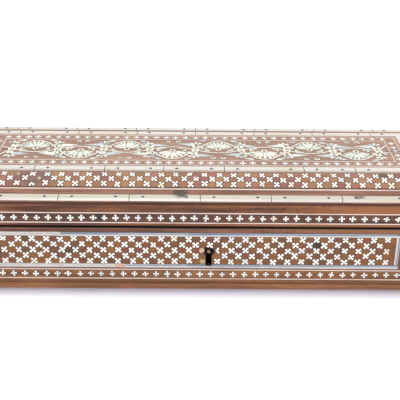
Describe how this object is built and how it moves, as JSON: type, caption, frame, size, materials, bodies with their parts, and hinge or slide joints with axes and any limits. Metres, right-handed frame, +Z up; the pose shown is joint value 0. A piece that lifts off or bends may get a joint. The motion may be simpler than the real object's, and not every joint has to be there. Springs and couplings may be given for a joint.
{
  "type": "inlaid wooden box",
  "caption": "Long low wooden box with bone inlay: mitred case on a plinth, hinged lid stepping up over a curved moulding to a flat scroll-inlaid top, link-plate lock.",
  "frame": {"origin": "on the floor under the middle of the box", "axes": "+X along the length to the right, -Y to the front with the keyhole, +Z up"},
  "size_m": [0.4142, 0.1452, 0.0851],
  "materials": {
    "rosewood": "waxed Indian rosewood, worn, with dark pores and reddish and orange streaks",
    "core_wood": "plain planed softwood of the inside",
    "bone": null,
    "reeded_bone": null,
    "brass": "dull hammered and filed brass",
    "iron": "browned iron",
    "horn": "dark horn"
  },
  "bodies": {
    "box": {"front_board": "rosewood", "right_board": "rosewood", "back_board": "rosewood", "left_board": "rosewood", "bottom_board": "core_wood", "plinth_front": "rosewood", "plinth_right": "rosewood", "plinth_back": "rosewood", "plinth_left": "rosewood", "field_frame_front": "reeded_bone", "field_frame_right": "reeded_bone", "field_frame_back": "reeded_bone", "field_frame_left": "reeded_bone", "field_flowers_front": "bone", "field_flowers_right": "bone", "field_flowers_back": "bone", "field_flowers_left": "bone", "base_flowers": "bone", "base_stringing": "bone", "lock_case": "brass", "lock_cap": "brass", "drill_pin": "iron", "lock_screws": "brass", "bolt_studs": "iron", "bolt_spring": "iron", "hinge_case_leaves": "brass", "hinge_case_screws": "brass", "hinge_pins": "iron"},
    "lid": {"lid_rail_front": "rosewood", "lid_rail_right": "rosewood", "lid_rail_back": "rosewood", "lid_rail_left": "rosewood", "lid_deck": "rosewood", "lid_edge_bone": "bone", "lid_edge_pins": "horn", "lid_flowers": "bone", "lid_stringing": "bone", "ledge_stringing": "bone", "cushion_front": "rosewood", "cushion_right": "rosewood", "cushion_back": "rosewood", "cushion_left": "rosewood", "cushion_flowers": "bone", "top_core": "core_wood", "top_panel": "rosewood", "top_bone": "bone", "top_bone_pins": "horn", "top_flowers": "bone", "top_stringing": "bone", "scroll_stems": "bone", "scroll_palmettes": "bone", "scroll_leaves": "bone", "scroll_buds": "bone", "link_plate": "brass", "link_screws": "brass", "hinge_lid_leaves": "brass", "hinge_lid_screws": "brass"},
    "bolt": {"lock_bolt": "iron"}
  },
  "joints": [
    {"name": "lid_hinge", "type": "hinge", "parent": "box", "child": "lid", "pos_m": [0, 0.071, 0.0526], "axis": [-1, 0, 0], "range_deg": [0, 100]},
    {"name": "bolt_slide", "type": "slide", "parent": "box", "child": "bolt", "axis": [1, 0, 0], "range_m": [0, 0.006]}
  ]
}
